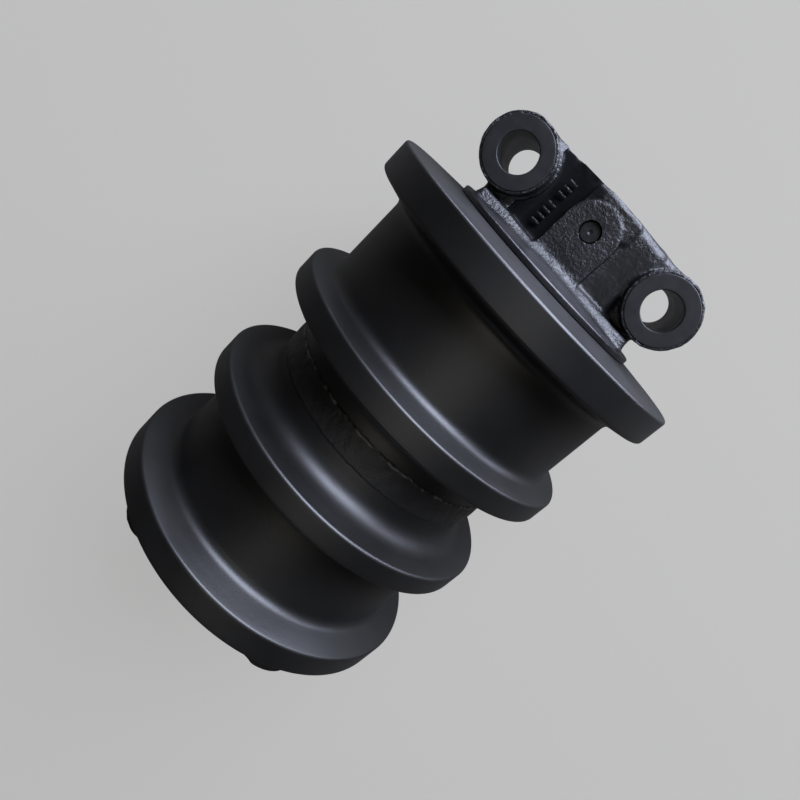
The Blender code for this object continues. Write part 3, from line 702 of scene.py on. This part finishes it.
cast_paint = bpy.data.materials.new("gloss_black_cast_paint")
tree, shader = shader_of(cast_paint)
cast_cloud = add_noise(tree, 60.0, 4.0)
sand_grain = add_noise(tree, 560.0, 3.0, 0.6)
fine_grain = add_noise(tree, 1500.0, 2.0)
tree.links.new(add_ramp(tree, cast_cloud.outputs["Fac"], [(0.3, (0.0070, 0.0070, 0.0076)),
                                                          (0.7, (0.0115, 0.0116, 0.0126))]),
               shader.inputs["Base Color"])
tree.links.new(add_range(tree, cast_cloud.outputs["Fac"], 0.32, 0.44), shader.inputs["Roughness"])
tree.links.new(add_attribute(tree, "gloss_loss", 0.72, 0.10), shader.inputs["Specular IOR Level"])
add_bump(tree, shader, [(sand_grain.outputs["Fac"], 0.55, 0.0011),
                        (fine_grain.outputs["Fac"], 0.30, 0.0004)])
for node in tree.nodes:
    if node.bl_idname == "ShaderNodeBump":
        tree.links.new(add_attribute(tree, "smoothness", node.inputs["Strength"].default_value, 0.05),
                       node.inputs["Strength"])


def tally_bar(x, y, z):
    """Distance to the one short rounded bar of the casting's tally."""
    return block(x, y, z, (-27.8, -0.6, floor_z - 1.2), (-22.2, 0.6, floor_z + 0.35), 0.35)


collar_points, collar_faces = contour(
    collar_distance, (-77.0, 125.0, -71.0), (77.0, 184.0, 71.0), grid_step)
bar_points, bar_faces = contour(
    tally_bar, (-28.6, -1.4, floor_z - 1.9), (-21.4, 1.4, floor_z + 1.2), 0.25)
for bar_y in (144.0, 148.0, 152.0, 156.0, 163.0, 167.0, 171.0):
    collar_faces = np.concatenate([collar_faces, bar_faces + len(collar_points)])
    collar_points = np.concatenate([collar_points, bar_points + (0.0, bar_y, 0.0)])
skin_x, skin_y, skin_z = collar_points.T
in_panel = (np.clip(0.5 - sunk_panel(skin_x, skin_y), 0, 1)
            * np.clip(panel_floor(skin_x) + 1.2 - skin_z, 0, 1))
in_shallow = (np.clip(3.0 - np.abs(skin_x - 27.0) + 7.0, 0, 1) * np.clip(shallow_z + 1.0 - skin_z, 0, 1)
              * np.clip((skin_y - 138.0) / 3.0, 0, 1) * np.clip((174.0 - skin_y) / 4.0, 0, 1)
              * np.clip(skin_z - 10.0, 0, 1))
on_base = np.clip((132.6 - skin_y) / 1.5, 0, 1)
smoothness = np.clip(in_panel + 0.6 * in_shallow + 0.85 * on_base, 0, 1)
gloss_loss = np.clip(in_panel + 0.2 * in_shallow, 0, 1)
for side, direction in (("left", 1), ("right", -1)):
    casting = put_mesh("collar_casting_" + side, collar_points * (direction * MM, direction * MM, MM),
                       collar_faces, 40.0)
    for name, values in (("smoothness", smoothness), ("gloss_loss", gloss_loss)):
        layer = casting.data.attributes.new(name, "FLOAT", "POINT")
        layer.data.foreach_set("value", values.astype(np.float32))
    finish_piece(casting, cast_paint, "mount", "cast_paint", "collar_" + side)

# ---------------------------------------------------------------------------
# Seal seats: the side of each collar that reaches into the shell's mouth, turned to a skirt and a sleeve
# round the shaft. The collar's half of the face seal sits between them.
# ---------------------------------------------------------------------------
for side, direction in (("left", 1), ("right", -1)):
    seat_corners = [
        (51.5, 129.5, 0.0), (51.5, 119.9, 0.5), (45.5, 119.9, 0.5), (45.5, 130.8, 0.8), (33.3, 130.8, 0.8),
        (33.3, 106.3, 0.5), (27.4, 106.3, 0.5), (27.4, 131.8, 0.0), (47.0, 131.8, 0.0)]
    turned_piece("collar_seal_seat_" + side, seat_corners, 160, cast_paint, "mount", "cast_paint", None,
                 direction)

# ---------------------------------------------------------------------------
# Boss faces: the machined ring round each bolt hole, turned flat after casting and left with a thinner,
# smoother coat of paint. The track frame rests on it.
# ---------------------------------------------------------------------------
boss_face = bpy.data.materials.new("machined_boss_face")
tree, shader = shader_of(boss_face)
face_cloud = add_noise(tree, 160.0, 4.0)
face_grain = add_noise(tree, 2200.0, 2.0)
tree.links.new(add_ramp(tree, face_cloud.outputs["Fac"], [(0.3, (0.0095, 0.0095, 0.0103)),
                                                          (0.7, (0.0140, 0.0140, 0.0150))]),
               shader.inputs["Base Color"])
tree.links.new(add_range(tree, face_cloud.outputs["Fac"], 0.42, 0.52), shader.inputs["Roughness"])
shader.inputs["Specular IOR Level"].default_value = 0.6
add_bump(tree, shader, [(face_grain.outputs["Fac"], 0.25, 0.0002)])
face_in, face_out = bolt_hole_r * MM, 19.2 * MM
face_low, face_high = (pad_z - 1.6) * MM, pad_z * MM
face_profile = softened([(face_in, face_low, 0.0), (face_out, face_low, 0.0),
                         (face_out, face_high, 0.35 * MM), (face_in, face_high, 0.6 * MM)], 1.5 * MM)
ring_points, ring_faces = turned_grid(face_profile, 144)
ring_points = ring_points[:, [0, 2, 1]]
for side, direction in (("left", 1), ("right", -1)):
    for mark, sign in (("a", 1), ("b", -1)):
        centre = np.array((sign * direction * bolt_x, direction * bolt_y, 0.0)) * MM
        boss_ring = put_mesh("boss_face_" + mark + "_" + side, ring_points + centre, ring_faces, 50.0)
        finish_piece(boss_ring, boss_face, "mount", "cast_paint")

# ---------------------------------------------------------------------------
# Lock pins: a turned steel pin driven through each collar and the shaft, set below the pad's face
# and painted over with the rest. A drill point marks the middle of its end.
# ---------------------------------------------------------------------------
pin_paint = bpy.data.materials.new("painted_pin_end")
tree, shader = shader_of(pin_paint)
pin_cloud = add_noise(tree, 300.0, 3.0)
tree.links.new(add_ramp(tree, pin_cloud.outputs["Fac"], [(0.3, (0.010, 0.010, 0.011)),
                                                         (0.7, (0.020, 0.020, 0.021))]),
               shader.inputs["Base Color"])
tree.links.new(add_range(tree, pin_cloud.outputs["Fac"], 0.30, 0.45), shader.inputs["Roughness"])
add_bump(tree, shader, [(pin_cloud.outputs["Fac"], 0.25, 0.0006)])
pin_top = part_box("lock_pin_left")[1][2]
pin_r, pin_chamfer = 5.8 * MM, 0.7 * MM
pin_profile = softened([
    (0.01 * MM, pin_top - 1.1 * MM, 0.0), (1.1 * MM, pin_top - 0.2 * MM, 0.2 * MM),
    (1.6 * MM, pin_top, 0.2 * MM), (5.2 * MM, pin_top, 0.3 * MM),
    (pin_r, pin_top - pin_chamfer, 0.3 * MM), (pin_r, -pin_top + pin_chamfer, 0.3 * MM),
    (5.2 * MM, -pin_top, 0.3 * MM), (0.01 * MM, -pin_top, 0.0)], 2.0 * MM)
pin_points, pin_faces = turned_grid(pin_profile, 72)
pin_points = pin_points[:, [0, 2, 1]]
for side, direction in (("left", 1), ("right", -1)):
    pin_place = (0.0, direction * pin_y * MM, 0.0)
    cross_pin = put_mesh("cross_pin_" + side, pin_points + pin_place, pin_faces, 40.0)
    finish_piece(cross_pin, pin_paint, "mount", "pin_steel", "lock_pin_" + side)

# ---------------------------------------------------------------------------
# Oil plug: a zinc-plated screw with a hexagon socket, tightened on a sealing washer in the +Y end of
# the shaft. The roller is filled with oil through its hole.
# ---------------------------------------------------------------------------
plug_zinc = machined_metal("zinc_plate", (0.33, 0.32, 0.29), (0.46, 0.45, 0.42), 0.28, 0.42)
plug_low, plug_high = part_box("oil_plug")
plug_head, plug_foot = plug_high[1] / MM, plug_low[1] / MM
plug_r, plug_head_length = 7.0, 4.6
plug_corners = [
    (0.02, plug_foot, 0.0), (3.2, plug_foot, 0.6), (3.2, plug_head - plug_head_length, 0.3),
    (plug_r, plug_head - plug_head_length, 0.3), (plug_r, plug_head, 0.7), (0.02, plug_head, 0.0)]
plug = turned_piece("filler_plug", plug_corners, 72, plug_zinc, "mount", "plug_steel", "oil_plug")
plug.data.transform(Matrix.Translation((oil_hole_x * MM, 0.0, 0.0)))
socket_r, socket_depth = 3.6, 3.2
socket_angles = np.arange(6) * math.pi / 3
socket_ring = np.stack([oil_hole_x + socket_r * np.cos(socket_angles), np.zeros(6),
                        socket_r * np.sin(socket_angles)], 1)
socket_points = np.concatenate([socket_ring + (0.0, plug_head - socket_depth, 0.0),
                                socket_ring + (0.0, plug_head + 2.0, 0.0)])
socket = bpy.data.meshes.new("socket")
socket.from_pydata((socket_points * MM).tolist(), [], [tuple(range(6)), tuple(range(11, 5, -1))] + [
    (k, 6 + k, 6 + (k + 1) % 6, (k + 1) % 6) for k in range(6)])
cut_away(plug, socket)
washer_low, washer_high = (corner[1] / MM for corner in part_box("plug_washer"))
washer_corners = [(3.8, washer_low, 0.0), (plug_r, washer_low, 0.3), (plug_r, washer_high, 0.3),
                  (3.8, washer_high, 0.0)]
washer = turned_piece("plug_seal_washer", washer_corners, 72, black_rubber, "mount", "rubber", "plug_washer")
washer.data.transform(Matrix.Translation((oil_hole_x * MM, 0.0, 0.0)))
